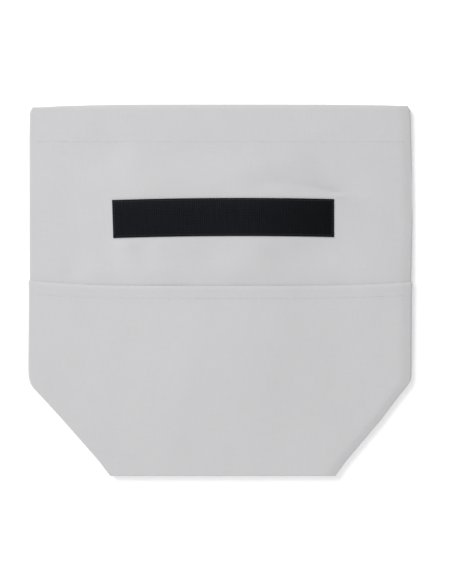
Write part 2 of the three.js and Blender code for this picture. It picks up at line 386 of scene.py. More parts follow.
# Heights of the walls
def fold_rise(fold, x, y):
    _, middle_x, middle_y, along, across, turn, rise = fold
    angle = math.radians(turn)
    dx, dy = x - middle_x, y - middle_y
    u = (dx * math.cos(angle) + dy * math.sin(angle)) / along
    v = (dy * math.cos(angle) - dx * math.sin(angle)) / across
    return rise * np.exp(-FOLD_STEEPNESS * (u * u + v * v) ** FOLD_ROUNDNESS)


def crease_rise(x, y):
    """The crease: a sharp lower side and a long upper one. It deepens along its line, then opens out."""
    length = CREASE["to"] - CREASE["from"]
    along = np.clip((x - CREASE["from"]) / length, 0, CREASE["ends"])
    bent = np.clip(x - CREASE["bend"], 0, CREASE["to"] - CREASE["bend"])
    line = CREASE["y"] - CREASE["curve"] * bent ** 2
    above = CREASE["above"] + CREASE["above_growth"] * along ** 2
    below = CREASE["below"] - CREASE["pinch"] * smoothstep(along, *CREASE["pinches"])
    below = below + CREASE["below_growth"] * smoothstep(along, *CREASE["opens"])
    depth = CREASE["depth"] * smoothstep(along, *CREASE["deepens"])
    depth = depth * (1 - CREASE["fade"] * smoothstep(along, *CREASE["fades"]))
    side = y - line
    reach = np.where(side > 0, above, below)
    return -depth * np.exp(-np.abs(side / reach) ** CREASE["roundness"])


def sewn_line(distance, x, seed, depth, pitch):
    """The groove that a row of stitches pulls into padded cloth, with small puckers along it."""
    groove = -depth * np.exp(-((distance / SEWN_LINE["groove"]) ** 2))
    wander = SEWN_LINE["wander"] * ripples(x, 0 * x, seed, **PUCKER_WAVES)
    pull = np.sin(2 * math.pi * x / pitch + wander)
    fading = np.exp(-((distance / SEWN_LINE["puckers"]) ** 2))
    return groove + SEWN_LINE["pucker_share"] * depth * pull * fading


def hem_shoulder(shoulder, below):
    """How far a turned hem rounds down towards its edge, from the distance below the edge."""
    return shoulder["drop"] * np.clip(1 - below / shoulder["reach"], 0, 1) ** 2


def right_shoulder(x, y):
    _, right_edge = outline_at(y)
    inside = right_edge - x
    return RIGHT_SHOULDER["drop"] * smoothstep(inside, RIGHT_SHOULDER["starts"], RIGHT_SHOULDER["ends"])


def crown_level(x, y):
    """Height of the front: crowned, fuller in the middle, and hollow beside the tape's right end."""
    left = between(SWELL["left_below"], SWELL["left"], smoothstep(y, *SWELL["over_rim"]))
    right = between(SWELL["right"], SWELL["right_above"], smoothstep(y, *SWELL["over_tape"]))
    middle = smoothstep(x, *left) * (1 - smoothstep(x, *right))
    body = smoothstep(y, *SWELL["foot"]) * (1 - smoothstep(y, *SWELL["mouth"]))
    swell = SWELL["rise"] * middle * body
    crown = FRONT_Z + CROWN * (1 - (x / HALF_WIDTH) ** 2)
    return crown + swell + fold_rise(RIGHT_HOLLOW, x, y) - right_shoulder(x, y)


def sewn_level(x, y):
    """Height of the front wall's outer face as sewn: crowned, folded, and held flat under the tape."""
    folds = sum(fold_rise(fold, x, y) for fold in FRONT_FOLDS)
    return crown_level(x, y) + (folds + crease_rise(x, y)) * (1 - near_tape(HOOK_STRIP, x, y))


def front_level(x, y, detail=True):
    """Height of the front wall's outer face, before its edges roll down."""
    loose = sewn_level(x, y)
    if detail:
        loose = loose + read_grid(SETTLED, x, y)
        loose = loose + ripples(x, y, **FRONT_RIPPLES)
        loose = loose + sewn_line(y - HEM_Y, x, **MOUTH_SEAM)
        loose = loose + HEM_STEP["rise"] * smoothstep(y, HEM_Y + HEM_STEP["from"], HEM_Y + HEM_STEP["to"])
        loose = loose - hem_shoulder(HEM_SHOULDER, MOUTH_Y - y)
    held = near_tape(HOOK_STRIP, x, y)
    return loose * (1 - held) + sewn_level(x, y) * held


def back_level(x, y):
    """Height of the back wall's outer face: on the surface, but lifted over the loop tape."""
    return (TAPE_THICKNESS + GAP) * near_tape(LOOP_STRIP, x, y)


# The settling of the front wall's cloth
def settling_sheet(x, y, start):
    """The front wall as a coarse sheet of cloth. It is sewn down along its sides, its lower part and the
    tape, half held at the hem and beside the tape, and it grows a little where it isn't taut."""
    index = grid_numbers(x)
    points = np.stack((x, y, start), 2).reshape(-1, 3)
    sheet = mesh_piece("settling_sheet", points, grid_quads(index).tolist())
    held = near_tape(HOOK_STRIP, x, y) > SETTLE["held_over"]
    held |= y < POCKET_RIM["y"] + SETTLE["held_above_rim"]
    held[:, [0, -1]] = True
    held[0] = True
    beside_tape = np.abs(x - HOOK_STRIP["x"]) > HOOK_STRIP["width"] / 2
    half_held = ((y > HEM_Y) | beside_tape) & ~held
    taut = (x > SETTLE["taut_from"]) & (y > HOOK_STRIP["y"])
    hold = sheet.vertex_groups.new(name="held")
    hold.add(index[held].tolist(), 1.0, "REPLACE")
    hold.add(index[half_held].tolist(), SETTLE["half_hold"], "REPLACE")
    sheet.vertex_groups.new(name="taut").add(index[taut].tolist(), 1.0, "REPLACE")

    modifier = sheet.modifiers.new("settle", "CLOTH")
    for setting, value in SETTLE_CLOTH.items():
        setattr(modifier.settings, setting, value)
    modifier.settings.vertex_group_mass = "held"
    modifier.settings.shrink_min = -SETTLE["growth"]
    modifier.settings.shrink_max = 0
    modifier.settings.vertex_group_shrink = "taut"
    modifier.settings.effector_weights.gravity = 0
    modifier.collision_settings.use_collision = False
    return sheet


def settled_rise():
    """How far the front wall rises or sinks as its cloth grows and buckles, as the columns and rows of a
    grid and the rise at each of its points."""
    columns = np.linspace(-REACH, REACH, round(2 * REACH / SETTLE["grid"]) + 1)
    rows = np.linspace(FOOT_Y + ROLL, MOUTH_Y, round((MOUTH_Y - FOOT_Y - ROLL) / SETTLE["grid"]) + 1)
    x, y = np.meshgrid(columns, rows)
    start = sewn_level(x, y)
    sheet = settling_sheet(x, y, start)
    scene = bpy.context.scene
    for number in range(1, SETTLE["frames"] + 1):
        scene.frame_set(number)
    settled = sheet.evaluated_get(bpy.context.evaluated_depsgraph_get()).data
    places = np.zeros(3 * x.size)
    settled.vertices.foreach_get("co", places)
    rise = np.clip(places.reshape(*x.shape, 3)[..., 2] / MM - start, -SETTLE["cap"], SETTLE["cap"])
    mesh = sheet.data
    bpy.data.objects.remove(sheet)
    bpy.data.meshes.remove(mesh)
    scene.frame_set(1)
    return columns, rows, rise


def cubic_weights(share):
    """Weights of four neighbours for a smooth curve through the two in the middle."""
    return (
        ((2 - share) * share - 1) * share / 2,
        ((3 * share - 5) * share * share + 2) / 2,
        ((4 - 3 * share) * share + 1) * share / 2,
        (share - 1) * share * share / 2,
    )


def read_grid(grid, x, y):
    """A smooth reading of a grid of heights at any places. Places past its edges read as its edges."""
    columns, rows, values = grid
    short_of_end = 1.001
    at_x = np.clip((x - columns[0]) / (columns[1] - columns[0]), 0, len(columns) - short_of_end)
    at_y = np.clip((y - rows[0]) / (rows[1] - rows[0]), 0, len(rows) - short_of_end)
    left, low = at_x.astype(int), at_y.astype(int)
    total = 0.0
    for step_y, weight_y in enumerate(cubic_weights(at_y - low), -1):
        row = np.clip(low + step_y, 0, len(rows) - 1)
        for step_x, weight_x in enumerate(cubic_weights(at_x - left), -1):
            column = np.clip(left + step_x, 0, len(columns) - 1)
            total = total + weight_y * weight_x * values[row, column]
    return total


# Panels with rolled edges
class Surface:
    """Stations and the quads between them. Each station has its place on the flat, the way its edge faces,
    how far that edge has turned (a quarter turn is flat and 0 is the widest point), how square the turn
    is, and the way round it. top lists the stations along the upper edge."""

    def __init__(self, places, quads, outward, turns, squareness, around, top):
        self.x, self.y = places[:, 0], places[:, 1]
        self.quads = quads
        self.out = outward
        self.turn = turns
        self.squareness = squareness
        self.around = around
        self.top = top


def panel_surface(columns, heights):
    """A panel's flat middle as a grid, with rings of stations that roll over its side and bottom edges."""
    shares = (columns + REACH) / (2 * REACH)
    left, right = outline_at(heights)
    wide, high = len(shares), len(heights)
    grid_x = (left + ROLL)[:, None] * (1 - shares) + (right - ROLL)[:, None] * shares
    grid_y = np.repeat(heights[:, None], wide, 1)
    places = [np.stack((grid_x, grid_y), 2).reshape(-1, 2)]
    index = grid_numbers(grid_x)
    quads = [grid_quads(index)]

    # Down the left edge, along the bottom and up the right. The two corners face where the outline's do.
    border = np.concatenate((index[:0:-1, 0], index[0], index[1:, -1]))
    facing = np.zeros((len(border), 2))
    facing[: high - 1] = (-1, 0)
    facing[high - 1 : high + wide - 1] = (0, -1)
    facing[high + wide - 1 :] = (1, 0)
    foot_left, foot_right = outline_at(FOOT_Y)
    facing[high - 1, 0] = (foot_left - grid_x[0, 0]) / ROLL
    facing[high + wide - 2, 0] = (foot_right - grid_x[0, -1]) / ROLL
    square = np.full(len(border), SQUARENESS["bottom"])
    square[: high - 1] = SQUARENESS["left"]
    square[high + wide - 1 :] = SQUARENESS["right"]

    outward = [np.zeros((index.size, 2))]
    squareness = [np.ones(index.size)]
    turned = [np.full(index.size, math.pi / 2)]
    around = [np.zeros(index.size)]
    top = [index[-1]]
    ring_turns = [np.arccos(share ** (1 / square)) for share in ROLL_SHARES]
    ring_turns += [np.full(len(border), turn) for turn in CURL_TURNS]
    ring = border
    first = index.size
    way = np.zeros(len(border))
    last_reach, last_rise = np.zeros(len(border)), np.ones(len(border))
    for turn in ring_turns:
        new = np.arange(first, first + len(border))
        reach, rise = np.maximum(0, np.cos(turn)) ** square, np.sin(turn)
        way = way + np.hypot(ROLL * (reach - last_reach), EDGE_DROP * (rise - last_rise))
        last_reach, last_rise = reach, rise
        around.append(way)
        places.append(places[0][border])
        outward.append(facing)
        squareness.append(square)
        turned.append(turn)
        quads.append(np.stack((ring[:-1], new[:-1], new[1:], ring[1:]), 1))
        top.append(new[[0, -1]])
        ring = new
        first += len(border)
    return Surface(*map(np.concatenate, (places, quads, outward, turned, squareness, around, top)))


def placed(surface, offset):
    """Where the stations stand, at an offset outwards from the wall's outer face."""
    reach = (ROLL + offset) * np.maximum(0, np.cos(surface.turn)) ** surface.squareness
    x = surface.x + surface.out[:, 0] * reach
    y = surface.y + surface.out[:, 1] * reach
    return x, y - mouth_droop(x, y)


def half_slit(y):
    return (SLIT + (SEAM_GAP - SLIT) * smoothstep(y, *SLIT_ENDS)) / 2


def rolled(surface, level, widest, rim):
    """Height of each station between its flat level and the seam."""
    rise = np.sin(surface.turn)
    above = widest + (level - widest) * rise
    curl = widest + (rim - widest) * np.clip(-rise / math.sin(CURL), 0, 1)
    return np.where(surface.turn < 0, curl, above)


def panel_points(surface, offset, level_of, side):
    """The stations at an offset outwards from a level. side is 1 for the front and -1 for the back."""
    x, y = placed(surface, offset)
    rim = SEAM_Z + side * half_slit(y)
    return np.stack((x, y, rolled(surface, level_of(x, y) + side * offset, rim + side * BELLY, rim)), 1)


def weave_places(surface):
    """Each station's place on the flat cloth: beyond the flat middle, the way round the roll counts."""
    return np.stack((surface.x, surface.y), 1) + surface.out * surface.around[:, None]


def mouth_bulge(surface):
    """Only the edge along the panel's top is rounded out; the other edges are inside the seam."""
    bulge = np.zeros((len(surface.x), 3))
    bulge[surface.top, 1] = 1
    return bulge


# Meshes
def scene_object(name, data):
    made = bpy.data.objects.new(name, data)
    bpy.context.scene.collection.objects.link(made)
    return made


def mesh_piece(name, points, faces, weave=None):
    """A smooth mesh from points in millimetres, with its place on the flat cloth as its UV map."""
    mesh = bpy.data.meshes.new(name)
    mesh.from_pydata((points * MM).tolist(), [], faces)
    if weave is not None:
        layer = mesh.uv_layers.new(name="weave")
        corners = np.zeros(len(mesh.loops), np.int32)
        mesh.loops.foreach_get("vertex_index", corners)
        layer.data.foreach_set("uv", (weave[corners] * MM).astype(np.float32).ravel())
    mesh.shade_smooth()
    mesh.update()
    return scene_object(name, mesh)


def thick_sheet(name, quads, outer, inner, weave, bulge=None, flipped=False):
    """A closed sheet between two sets of points. Its open edges are square, or rounded out along bulge."""
    if bulge is None:
        bulge = np.zeros_like(outer)
    count = len(outer)
    edges = np.concatenate([quads[:, [k, (k + 1) % 4]] for k in range(4)])
    codes = edges[:, 0] * count + edges[:, 1]
    opposite = edges[:, 1] * count + edges[:, 0]
    open_edges = edges[~np.isin(codes, opposite)]
    rim = np.unique(open_edges)
    place_in_rim = np.zeros(count, int)
    place_in_rim[rim] = np.arange(len(rim))

    points = [outer, inner]
    places = [weave, weave]
    middle, half = (outer[rim] + inner[rim]) / 2, (outer[rim] - inner[rim]) / 2
    width = np.linalg.norm(half, axis=1, keepdims=True)
    chains = [rim]
    for step in range(1, RIM_STEPS):
        angle = math.pi * step / RIM_STEPS
        points.append(middle + half * math.cos(angle) + bulge[rim] * width * math.sin(angle))
        places.append(weave[rim] + bulge[rim, :2] * width * angle)
        chains.append(2 * count + (step - 1) * len(rim) + np.arange(len(rim)))
    chains.append(rim + count)

    a, b = place_in_rim[open_edges[:, 0]], place_in_rim[open_edges[:, 1]]
    faces = [quads, quads[:, ::-1] + count]
    for this, after in zip(chains[:-1], chains[1:]):
        faces.append(np.stack((this[b], this[a], after[a], after[b]), 1))
    faces = np.concatenate(faces)
    if flipped:
        faces = faces[:, ::-1]
    return mesh_piece(name, np.concatenate(points), faces.tolist(), np.concatenate(places))


def tubes(paths, radius, sides=4):
    """Points and faces of closed tubes: paths is (tube, point, 3), every tube with as many points."""
    count, steps, _ = paths.shape
    along = np.gradient(paths, axis=1)
    along /= np.linalg.norm(along, axis=2, keepdims=True)
    x_axis, y_axis, _ = np.eye(3)
    nearly_along_x = np.abs(along[..., :1]) >= NEARLY_ALONG
    first = np.cross(along, np.where(nearly_along_x, y_axis, x_axis))
    first /= np.linalg.norm(first, axis=2, keepdims=True)
    second = np.cross(along, first)
    angles = np.arange(sides) * 2 * math.pi / sides + math.pi / sides
    radius = np.broadcast_to(np.asarray(radius, float), (steps,))[None, :, None, None]
    ring = (
        paths[:, :, None]
        + radius * np.cos(angles)[None, None, :, None] * first[:, :, None]
        + radius * np.sin(angles)[None, None, :, None] * second[:, :, None]
    )
    index = np.arange(count * steps * sides).reshape(count, steps, sides)
    turned = np.roll(index, -1, 2)
    walls = np.stack((index[:, :-1], turned[:, :-1], turned[:, 1:], index[:, 1:]), 3).reshape(-1, 4)
    faces = walls.tolist() + index[:, 0, ::-1].tolist() + index[:, -1].tolist()
    return ring.reshape(-1, 3), faces


def stitches(name, line, length, pitch, radius, lift, uneven):
    """A row of stitches along a line of points, each a short thread that dips in at both ends."""
    steps = np.linalg.norm(np.diff(line, axis=0), axis=1)
    way = np.concatenate(([0], np.cumsum(steps)))
    starts = np.arange(pitch / 2, way[-1] - length, pitch)
    shares = np.linspace(0, 1, len(STITCH_TAPER))
    at = starts[:, None] + length * shares
    paths = np.stack([np.interp(at, way, line[:, k]) for k in range(3)], 2)
    sunk = rng.uniform(-1, 1, len(starts))[:, None] * uneven
    paths[..., 2] += lift + sunk - STITCH_DIP * radius * (2 * shares - 1) ** 4
    return mesh_piece(name, *tubes(paths, radius * np.array(STITCH_TAPER), STITCH_SIDES))


def finish_piece(piece, material, slot, *nodes):
    piece.data.materials.append(material)
    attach(piece, "root")
    if nodes:
        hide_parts(*nodes)
    return piece


# Materials
class Nodes:
    """Short ways to add and link shader nodes."""

    def __init__(self, name):
        self.material = bpy.data.materials.new(name)
        self.material.use_nodes = True
        self.tree = self.material.node_tree
        self.shader = self.tree.nodes["Principled BSDF"]

    def add(self, kind, inputs=(), **settings):
        node = self.tree.nodes.new(kind)
        for key, value in settings.items():
            setattr(node, key, value)
        self.feed(node, dict(inputs))
        return node

    def feed(self, node, inputs):
        for socket, value in inputs.items():
            if isinstance(value, bpy.types.NodeSocket):
                self.tree.links.new(value, node.inputs[socket])
            else:
                node.inputs[socket].default_value = value

    def finish(self, inputs):
        """Feeds the surface's shader, and gives the material."""
        self.feed(self.shader, inputs)
        return self.material

    def math(self, operation, *values):
        return self.add("ShaderNodeMath", dict(enumerate(values)), operation=operation).outputs[0]

    def ramp(self, value, start, end, low=0.0, high=1.0):
        """A value that runs from low to high between start and end."""
        inputs = {"Value": value, "From Min": start, "From Max": end, "To Min": low, "To Max": high}
        return self.add("ShaderNodeMapRange", inputs).outputs["Result"]

    def spread(self, value, low, high):
        """A 0 to 1 value spread from low to high."""
        return self.ramp(value, 0.0, 1.0, low, high)

    def noise(self, vector, scale, detail=2.0):
        inputs = {"Vector": vector, "Scale": scale, "Detail": detail}
        return self.add("ShaderNodeTexNoise", inputs).outputs["Fac"]

    def mapped(self, vector, scale):
        return self.add("ShaderNodeMapping", {"Vector": vector, "Scale": scale}).outputs["Vector"]

    def mix(self, kind, factor, first, second, **settings):
        inputs = {"Factor": factor, "A": first, "B": second}
        return self.add("ShaderNodeMix", inputs, data_type=kind, **settings).outputs["Result"]

    def tinted(self, colour, factor):
        """A colour times a grey factor."""
        return self.mix("RGBA", 1.0, (*colour, 1), factor, blend_type="MULTIPLY")

    def bump(self, height, look):
        """The normal of a surface that is raised by a height."""
        inputs = {"Height": height, "Strength": look["bump"], "Distance": look["bump_depth"] * MM}
        return self.add("ShaderNodeBump", inputs).outputs["Normal"]


def weave_height(nodes, places, pitch):
    """Height of a plain weave, from 0 to 1: each square is one thread passing over the other."""
    cells = nodes.mapped(places, (1 / (pitch * MM), 1 / (pitch * MM), 1))
    split = nodes.add("ShaderNodeSeparateXYZ", {0: cells})
    arches = []
    for axis in ("X", "Y"):
        share = nodes.math("FRACT", split.outputs[axis])
        arches.append(nodes.math("SINE", nodes.math("MULTIPLY", share, math.pi)))
    over = nodes.add("ShaderNodeTexChecker", {"Vector": cells, "Scale": 1.0}).outputs["Fac"]
    lifts = [nodes.math("MULTIPLY_ADD", arch, WEAVE_ARCH["rise"], WEAVE_ARCH["low"]) for arch in arches]
    warp = nodes.math("MULTIPLY", arches[0], lifts[1])
    weft = nodes.math("MULTIPLY", arches[1], lifts[0])
    return nodes.mix("FLOAT", over, warp, weft)


def cloth_material():
    """Pale grey coated cloth in a fine plain weave, matt, with a faint slub in its threads and painted
    shade where the weave's threads dip.
    """
    look = CLOTH_LOOK
    nodes = Nodes("grey_cloth")
    places = nodes.add("ShaderNodeUVMap", uv_map="weave").outputs["UV"]
    weave = weave_height(nodes, places, look["thread"])
    coarse, fine = look["slub_scale"]
    slubs = []
    for scale in ((coarse, fine, 1), (fine, coarse, 1)):
        noise = nodes.noise(nodes.mapped(places, scale), 1.0)
        slubs.append(nodes.spread(noise, -look["slub"], look["slub"]))
    slub = nodes.math("ADD", *slubs)
    mottle = nodes.spread(nodes.noise(places, look["mottle_scale"], detail=3.0), *look["mottle"])
    speckle = nodes.noise(nodes.mapped(places, look["nub_scale"]), 1.0, detail=0.0)
    nub = nodes.ramp(speckle, *look["nub_from"])
    tone = nodes.math("ADD", mottle, slub)
    # Painted shade where the weave's threads dip, and a faint painted highlight on their crowns.
    shade = nodes.math("MULTIPLY", tone, nodes.spread(weave, *look["weave_painted_light"]))
    threads = nodes.math("ADD", weave, nodes.math("MULTIPLY", slub, look["slub_height"]))
    height = nodes.math("ADD", threads, nodes.math("MULTIPLY", nub, look["nub_height"]))
    return nodes.finish({
        "Base Color": nodes.tinted(CLOTH_COLOUR, shade),
        "Roughness": nodes.spread(weave, *look["roughness"]),
        "Normal": nodes.bump(height, look),
        "Specular IOR Level": look["specular"],
        "Sheen Weight": look["sheen"],
        "Sheen Roughness": look["sheen_roughness"],
    })


def thread_material(name, colour):
    """Twisted sewing thread."""
    look = THREAD_LOOK
    nodes = Nodes(name)
    places = nodes.add("ShaderNodeTexCoord").outputs["Object"]
    fibre = nodes.noise(nodes.mapped(places, look["fibre_scale"]), 1.0)
    return nodes.finish({
        "Base Color": nodes.tinted(colour, nodes.spread(fibre, *look["tone"])),
        "Roughness": nodes.spread(fibre, *look["roughness"]),
        "Normal": nodes.bump(fibre, look),
        "Specular IOR Level": look["specular"],
    })


def tape_streaks_and_painted_light(nodes, places):
    """A tape's tone: streaked by its weave, with a painted highlight along its upper edge and painted
    shade at its right end.
    """
    split = nodes.add("ShaderNodeSeparateXYZ", {0: places})
    # Painted highlight up the tape and painted shade along it, one factor for each row of the table.
    painted_light = []
    for axis, start, end, low, high in TAPE_PAINTED_LIGHT:
        painted_light.append(nodes.ramp(split.outputs[axis], start * MM, end * MM, low, high))
    streak = nodes.noise(nodes.mapped(places, STREAK_SCALE), 1.0, detail=3.0)
    return nodes.math("MULTIPLY", nodes.math("MULTIPLY", *painted_light), nodes.spread(streak, *STREAK_TONE))


def tape_material():
    """Black woven ground of the tapes: ribs across the tape and a fine weave, with painted shade where the
    weave's threads dip, a painted highlight along the tape's upper edge and painted shade at its right
    end.
    """
    look = TAPE_LOOK
    nodes = Nodes("black_tape")
    places = nodes.add("ShaderNodeUVMap", uv_map="weave").outputs["UV"]
    weave = weave_height(nodes, places, look["thread"])
    rib_scale = WAVE_LENGTH / (HOOK["pitch"][0] * MM)
    rib = nodes.add("ShaderNodeTexWave", {"Vector": places, "Scale": rib_scale}).outputs["Fac"]
    speck = nodes.noise(places, look["speck_scale"], detail=3.0)
    # Painted shade where the tape's threads dip, and a painted highlight on their crowns.
    painted_weave_shading = nodes.spread(weave, *look["weave_painted_light"])
    shade = nodes.math("MULTIPLY", painted_weave_shading, nodes.spread(speck, *look["speck_tone"]))
    # The tape's painted highlight along its upper edge and painted shade at its right end.
    shade = nodes.math("MULTIPLY", shade, tape_streaks_and_painted_light(nodes, places))
    height = nodes.math("ADD", weave, nodes.math("MULTIPLY", rib, look["rib_height"]))
    return nodes.finish({
        "Base Color": nodes.tinted(TAPE_COLOUR, shade),
        "Roughness": nodes.spread(speck, *look["roughness"]),
        "Normal": nodes.bump(height, look),
        "Specular IOR Level": look["specular"],
    })


def filament_material():
    """Black nylon of the hooks and loops, with the tape's painted highlight along its upper edge and
    painted shade at its right end.
    """
    look = FILAMENT_LOOK
    nodes = Nodes("black_filament")
    places = nodes.add("ShaderNodeTexCoord").outputs["Object"]
    speck = nodes.noise(places, look["speck_scale"])
    # The hooks and loops carry the tape's painted highlight along its upper edge and painted shade at its
    # right end.
    shade = nodes.math("MULTIPLY", nodes.spread(speck, *look["speck_tone"]), tape_streaks_and_painted_light(nodes, places))
    return nodes.finish({
        "Base Color": nodes.tinted(FILAMENT_COLOUR, shade),
        "Roughness": nodes.spread(speck, *look["roughness"]),
        "Specular IOR Level": look["specular"],
    })


# Walls and base. Rows and columns of points are given as where each run of them starts and its step, and
# they are closest at the tape's edges, the stitches and the mouth.
def make_wall(name, columns, heights, level_of, side, node):
    surface = panel_surface(columns, heights)
    outer, inner = [panel_points(surface, offset, level_of, side) for offset in (0, -WALL)]
    weave, bulge = weave_places(surface), mouth_bulge(surface)
    piece = thick_sheet(name, surface.quads, outer, inner, weave, bulge, flipped=side < 0)
    finish_piece(piece, grey_cloth, "grey_cloth", node)


def make_walls():
    columns = graded(
        (-REACH, 4), (TAPE_LEFT - 9, 1.5), (TAPE_LEFT + 3, 4), (TAPE_RIGHT - 3, 1.5), (TAPE_RIGHT + 9, 4),
        REACH,
    )
    heights = graded(
        (FOOT_Y + ROLL, 7), (-20, 2.5), (TAPE_FOOT - 12, 1.2), (TAPE_FOOT + 2, 5), (TAPE_TOP - 2, 1.2),
        (TAPE_TOP + 10, 2.5), (HEM_Y - 6, 0.75), (HEM_Y + 6, 2.5), (MOUTH_Y - 8, 1.2), MOUTH_Y - WALL / 2,
    )
    make_wall("front_wall", columns, heights, front_level, 1, "front_panel")
    columns = graded((-REACH, 5), REACH)
    heights = graded((FOOT_Y + ROLL, 6), (120, 2.5), (MOUTH_Y - 6, 1.2), MOUTH_Y - WALL / 2)
    make_wall("back_wall", columns, heights, back_level, -1, "back_panel")


def make_base_tuck():
    """The base, folded along its crease: an upper layer, the bend at the crease and a lower layer."""
    radius = (SLIT + WALL) / 2
    rise = graded((FOOT_Y + TUCK_INSET, TUCK_STEP), TUCK_Y)
    bend = np.linspace(0, math.pi, TUCK_BENDS)[1:-1]
    y = np.concatenate((rise, np.full(len(bend), TUCK_Y), rise[::-1]))
    turn = np.concatenate((0 * rise, bend, 0 * rise + math.pi))
    shares = np.linspace(0, 1, TUCK_COLUMNS)
    left, right = outline_at(y)
    x = (left + TUCK_INSET)[:, None] * (1 - shares) + (right - TUCK_INSET)[:, None] * shares

    def in_rows(values):
        return np.repeat(values[:, None], len(shares), 1)

    def points(offset):
        along = in_rows(y + (radius + offset) * np.sin(turn))
        height = in_rows(SEAM_Z + (radius + offset) * np.cos(turn))
        return np.stack((x, along, height), 2).reshape(-1, 3)

    flat = np.stack((x, in_rows(y + 2 * radius * turn)), 2).reshape(-1, 2)
    quads = grid_quads(grid_numbers(x))
    piece = thick_sheet("base_tuck", quads, points(WALL / 2), points(-WALL / 2), flat)
    finish_piece(piece, grey_cloth, "grey_cloth", "base_gusset")


# Pocket
def rim_share(y, depth):
    return smoothstep(y, POCKET_RIM["y"] - depth, POCKET_RIM["y"])


def hem_share(below):
    """1 at the pocket's rim, falling to 0 at the foot of its hem."""
    return np.clip(1 - below / POCKET_HEM["band"], 0, 1)


def pocket_lift(x, y):
    lift = np.where(x < 0, POCKET_RIM["left"], POCKET_RIM["right"])
    share = np.abs(x / HALF_WIDTH) ** POCKET_RIM["sharpness"]
    return lift * share * rim_share(y, POCKET_RIM["lift_depth"])


def pocket_level(x, y):
    """Height of the front wall under the pocket, plus how far the pocket stands away from it there."""
    sideways = np.maximum(0, 1 - (x / REACH) ** 2)
    away = POCKET_OPEN["gap"] * sideways * rim_share(y, POCKET_OPEN["depth"])
    below = POCKET_RIM["y"] - y
    hem = POCKET_HEM["tilt"] * hem_share(below) ** POCKET_HEM["tilt_curve"] * np.sqrt(sideways)
    sewn = sewn_line(below - POCKET_HEM["stitch"], x, **POCKET_SEAM)
    uneven = ripples(x, y, **POCKET_RIPPLES) * smoothstep(REACH - np.abs(x), 0, POCKET_RIPPLE_MARGIN)
    level = front_level(x, y, detail=False)
    return level + away + hem + sewn + uneven - hem_shoulder(RIM_SHOULDER, below)


def pocket_points(surface, offset, hem_fold):
    """The pocket's stations at an offset from the wall. Its hem is turned in, so thicker by its fold."""
    points = panel_points(surface, offset, pocket_level, 1)
    points[:, 2] += hem_fold * hem_share(POCKET_RIM["y"] - points[:, 1])
    points[:, 1] += pocket_lift(points[:, 0], points[:, 1])
    return points


def make_pocket():
    hem = POCKET_RIM["y"] - POCKET_HEM["stitch"]
    rim = POCKET_RIM["y"] - (POCKET_CLOTH + POCKET_HEM["fold"]) / 2
    heights = graded((FOOT_Y + ROLL, 4), (hem - 14, 2), (hem - 5, 0.75), (hem + 5, 1.2), rim)
    surface = panel_surface(graded((-REACH, 4), REACH), heights)
    outer = pocket_points(surface, GAP + POCKET_CLOTH, POCKET_HEM["fold"])
    inner = pocket_points(surface, GAP, 0)
    piece = thick_sheet("pocket", surface.quads, outer, inner, weave_places(surface), mouth_bulge(surface))
    return finish_piece(piece, grey_cloth, "grey_cloth", "front_pocket")


# Tapes
def make_tape(name, strip, foot, node):
    """The woven ground of a tape, on the height that foot gives for each of its places."""
    x = graded((-strip["width"] / 2, TAPE_STEP), strip["width"] / 2)
    y = graded((-strip["height"] / 2, TAPE_STEP), strip["height"] / 2)
    across, up = np.meshgrid(x, y)
    flat = np.stack((across + strip["x"], up + strip["y"]), 2).reshape(-1, 2)
    place = np.stack(tape_place(strip, across, up), 2).reshape(-1, 2)
    height = foot(*place.T)
    outer = np.column_stack((place, height + TAPE_BASE))
    inner = np.column_stack((place, height))
    piece = thick_sheet(name, grid_quads(grid_numbers(across)), outer, inner, flat)
    return finish_piece(piece, tape_ground, "black_tape", node)


def tape_rows(strip, margin, pitch):
    """Where the filaments stand on a tape: an even grid, inside its plain edges."""
    count_x = int((strip["width"] - 2 * margin) / pitch[0])
    count_y = int((strip["height"] - 2 * margin) / pitch[1])
    x = (np.arange(count_x) - (count_x - 1) / 2) * pitch[0]
    y = (np.arange(count_y) - (count_y - 1) / 2) * pitch[1]
    across, up = np.meshgrid(x, y)
    return across.ravel(), up.ravel()


def make_hooks(strip, ground):
    """Rows of hooks that stand on the tape's ground, bent up and down the tape by turns."""
    across, up = tape_rows(strip, HOOK["margin"], HOOK["pitch"])
    x, y = tape_place(strip, across, up)
    along, height = np.array(HOOK_SHAPE).T
    turn = np.where(np.round(across / HOOK["pitch"][0]) % 2 == 0, 1.0, -1.0)
    side = rng.normal(0, HOOK["lean"], len(x))
    size = rng.uniform(*HOOK["sizes"], len(x))
    paths = np.zeros((len(x), len(HOOK_SHAPE), 3))
    paths[..., 0] = x[:, None] + side[:, None] * height
    paths[..., 1] = y[:, None] + turn[:, None] * (along - HOOK_MIDDLE)
    paths[..., 2] = ground(x, y)[:, None] + size[:, None] * height
    return finish_piece(mesh_piece("hooks", *tubes(paths, HOOK["radius"])), filament, "black_tape")


def make_loops(strip, ground):
    """A nap of small loops under the loop tape, each an arch in its own direction."""
    across, up = tape_rows(strip, LOOP["margin"], LOOP["pitch"])
    across = across + rng.normal(0, LOOP["scatter"], len(across))
    up = up + rng.normal(0, LOOP["scatter"], len(up))
    x, y = tape_place(strip, across, up)
    heading = rng.uniform(0, 2 * math.pi, len(x))
    span = rng.uniform(*LOOP["spans"], len(x))
    height = (ground - LOOP["clearance"]) * rng.uniform(*LOOP["heights"], len(x))
    angle = np.linspace(0, math.pi, LOOP["steps"])
    paths = np.zeros((len(x), len(angle), 3))
    paths[..., 0] = x[:, None] + (span * np.cos(heading))[:, None] * np.cos(angle)
    paths[..., 1] = y[:, None] + (span * np.sin(heading))[:, None] * np.cos(angle)
    paths[..., 2] = ground + LOOP["root"] - height[:, None] * np.sin(angle)
    return finish_piece(mesh_piece("loops", *tubes(paths, LOOP["radius"])), filament, "black_tape")


